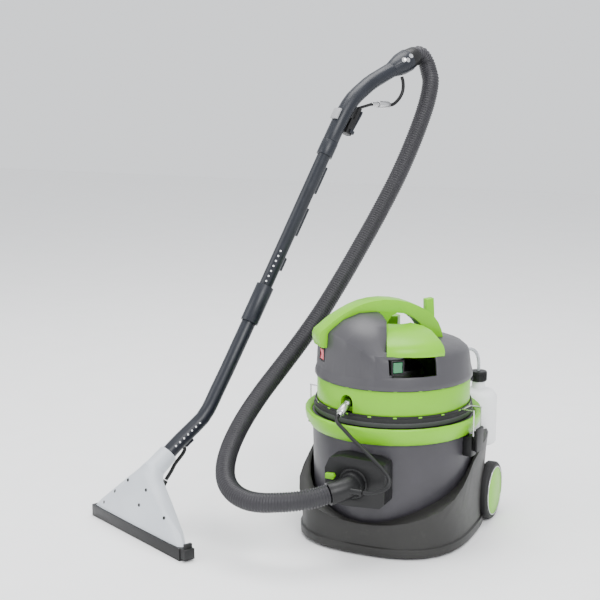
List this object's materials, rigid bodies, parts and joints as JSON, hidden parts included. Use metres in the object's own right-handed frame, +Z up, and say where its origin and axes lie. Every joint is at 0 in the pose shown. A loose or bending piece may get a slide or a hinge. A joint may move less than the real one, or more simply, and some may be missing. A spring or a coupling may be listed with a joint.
{
  "type": "spot extractor",
  "caption": "Wheeled drum spray-extraction cleaner with a lift-off motor head, ribbed suction hose and a long hand wand with a wide clear nozzle.",
  "frame": {"origin": "on the floor, under the middle of the machine and its wand, the free hoses left out", "axes": "+Z up, the hose inlet faces -Y, the wand lies towards -X"},
  "size_m": [0.8214, 0.8525, 1.0164],
  "materials": {
    "green": "semi-gloss moulded",
    "charcoal": "satin moulded",
    "tank_grey": "satin moulded",
    "base_black": "fine satin grain",
    "black": "satin",
    "rubber": "matte",
    "hose_grey": "ribbed, satin",
    "wand_blue_black": "satin",
    "frosted": "frosted translucent",
    "white": "waxy satin",
    "clear": "translucent tube",
    "red": "gloss, lit rocker",
    "lamp_green": "gloss, lit rocker",
    "silver": "bright plated",
    "steel": "brushed",
    "plate_grey": "satin"
  },
  "bodies": {
    "root": {"base_skirt": "base_black", "stub_axle_left": "steel", "stub_axle_right": "steel", "recovery_tank": "tank_grey", "tank_rim": "green", "inlet_shroud": "black", "inlet_collar": "black", "hose_elbow": "black", "suction_hose": "hose_grey", "solution_hose": "black", "bottle": "white", "latch_bracket_right": "black", "latch_bracket_left": "black"},
    "wheel_left": {"tyre_left": "rubber", "wheel_hub_left": "green"},
    "wheel_right": {"tyre_right": "rubber", "wheel_hub_right": "green"},
    "fork_left": {"caster_fork_left": "black"},
    "fork_right": {"caster_fork_right": "black"},
    "roller_left": {"caster_wheel_left": "rubber"},
    "roller_right": {"caster_wheel_right": "rubber"},
    "hose_release": {"release_tab": "green"},
    "bottle_lid": {"bottle_cap": "black"},
    "lever_right": {"latch_lever_right": "black"},
    "bail_right": {"latch_bail_right": "silver"},
    "lever_left": {"latch_lever_left": "black"},
    "bail_left": {"latch_bail_left": "silver"},
    "head": {"head_gasket": "rubber", "head_band": "green", "motor_cover": "charcoal", "carry_handle": "green", "rear_hook": "green", "vacuum_switch_housing": "black", "pump_switch_housing": "black", "vacuum_motor": "steel", "pump_body": "black", "float_cage": "black", "coupler_plug": "steel", "cable_gland": "black", "bottle_tube": "clear"},
    "fan": {"impeller": "silver"},
    "float": {"float_ball": "white"},
    "vacuum_rocker": {"vacuum_switch_rocker": "red"},
    "pump_rocker": {"pump_switch_rocker": "lamp_green"},
    "coupler_ring": {"coupler_sleeve": "silver"},
    "wand": {"nozzle_lip": "black", "nozzle_shell": "frosted", "lower_tube": "wand_blue_black", "upper_tube": "wand_blue_black", "joint_sleeve": "wand_blue_black", "grip_tube": "wand_blue_black", "valve_body": "black", "solution_pipe": "black", "spray_jet": "black", "wand_solution_hose": "black", "wand_coupler": "steel"},
    "cuff": {"hose_cuff": "black"},
    "trigger_lever": {"trigger": "wand_blue_black"},
    "relief": {"relief_slide": "plate_grey"},
    "wand_coupler_ring": {"wand_coupler_sleeve": "silver"}
  },
  "joints": [
    {"name": "wheel_left_roll", "type": "hinge", "parent": "root", "child": "wheel_left", "pos_m": [0.03161, 0.09481, 0.063], "axis": [1, 0, 0], "continuous": true},
    {"name": "wheel_right_roll", "type": "hinge", "parent": "root", "child": "wheel_right", "pos_m": [0.38361, 0.09481, 0.063], "axis": [1, 0, 0], "continuous": true},
    {"name": "caster_left_swivel", "type": "hinge", "parent": "root", "child": "fork_left", "pos_m": [0.10761, -0.16019, 0.03], "axis": [0, 0, 1], "continuous": true},
    {"name": "caster_left_roll", "type": "hinge", "parent": "fork_left", "child": "roller_left", "pos_m": [0.10761, -0.14919, 0.014], "axis": [1, 0, 0], "continuous": true},
    {"name": "caster_right_swivel", "type": "hinge", "parent": "root", "child": "fork_right", "pos_m": [0.30761, -0.16019, 0.03], "axis": [0, 0, 1], "continuous": true},
    {"name": "caster_right_roll", "type": "hinge", "parent": "fork_right", "child": "roller_right", "pos_m": [0.30761, -0.14919, 0.014], "axis": [1, 0, 0], "continuous": true},
    {"name": "head_lift", "type": "slide", "parent": "root", "child": "head", "axis": [0, 0, 1], "range_m": [0, 0.12], "deforming": ["solution_hose"]},
    {"name": "fan_spin", "type": "hinge", "parent": "head", "child": "fan", "pos_m": [0.20761, -0.04219, 0.295], "axis": [0, 0, 1], "continuous": true},
    {"name": "float_rise", "type": "slide", "parent": "head", "child": "float", "axis": [0, 0, 1], "range_m": [0, 0.0371]},
    {"name": "vacuum_switch_tip", "type": "hinge", "parent": "head", "child": "vacuum_rocker", "pos_m": [0.09503, -0.1509, 0.392], "axis": [0.6947, -0.7193, 0], "range_deg": [-7, 7]},
    {"name": "pump_switch_tip", "type": "hinge", "parent": "head", "child": "pump_rocker", "pos_m": [0.26775, -0.18221, 0.388], "axis": [-0.7193, -0.6947, 0], "range_deg": [-7, 7]},
    {"name": "coupler_release", "type": "slide", "parent": "head", "child": "coupler_ring", "axis": [0.2171, 0.8101, 0.5446], "range_m": [0, 0.003], "stiffness_N_per_m": 300},
    {"name": "hose_release_slide", "type": "slide", "parent": "root", "child": "hose_release", "axis": [-1, 0, 0], "range_m": [0, 0.004], "stiffness_N_per_m": 300},
    {"name": "bottle_cap_turn", "type": "hinge", "parent": "root", "child": "bottle_lid", "pos_m": [0.33461, 0.15281, 0.301], "axis": [0, 0, 1], "continuous": true},
    {"name": "latch_right_open", "type": "hinge", "parent": "root", "child": "lever_right", "pos_m": [0.39873, -0.06905, 0.206], "axis": [0.1392, 0.9903, 0], "range_deg": [0, 90]},
    {"name": "bail_right_swing", "type": "hinge", "parent": "lever_right", "child": "bail_right", "pos_m": [0.40071, -0.06933, 0.238], "axis": [0.1392, 0.9903, 0], "range_deg": [0, 40]},
    {"name": "latch_left_open", "type": "hinge", "parent": "root", "child": "lever_left", "pos_m": [0.01649, -0.01533, 0.206], "axis": [-0.1392, -0.9903, 0], "range_deg": [0, 90]},
    {"name": "bail_left_swing", "type": "hinge", "parent": "lever_left", "child": "bail_left", "pos_m": [0.01451, -0.01505, 0.238], "axis": [-0.1392, -0.9903, 0], "range_deg": [0, 40]},
    {"name": "wand_turn", "type": "hinge", "parent": "root", "child": "wand", "pos_m": [0.08428, 0.39895, 0.996], "axis": [0, 0, 1], "range_deg": [-25, 5], "deforming": ["suction_hose"]},
    {"name": "cuff_swivel", "type": "hinge", "parent": "wand", "child": "cuff", "pos_m": [0.08428, 0.39895, 0.996], "axis": [0.3887, 0.8336, 0.3923], "continuous": true},
    {"name": "trigger_squeeze", "type": "hinge", "parent": "wand", "child": "trigger_lever", "pos_m": [-0.00579, 0.2058, 0.82596], "axis": [0.9063, -0.4226, 0], "range_deg": [0, 4], "stiffness_Nm_per_rad": 1},
    {"name": "relief_slide_open", "type": "slide", "parent": "wand", "child": "relief", "axis": [0.2208, 0.4735, 0.8526], "range_m": [-0.008, 0]},
    {"name": "wand_coupler_release", "type": "slide", "parent": "wand", "child": "wand_coupler_ring", "axis": [-0.4221, -0.9051, 0.0506], "range_m": [0, 0.003], "stiffness_N_per_m": 300}
  ]
}
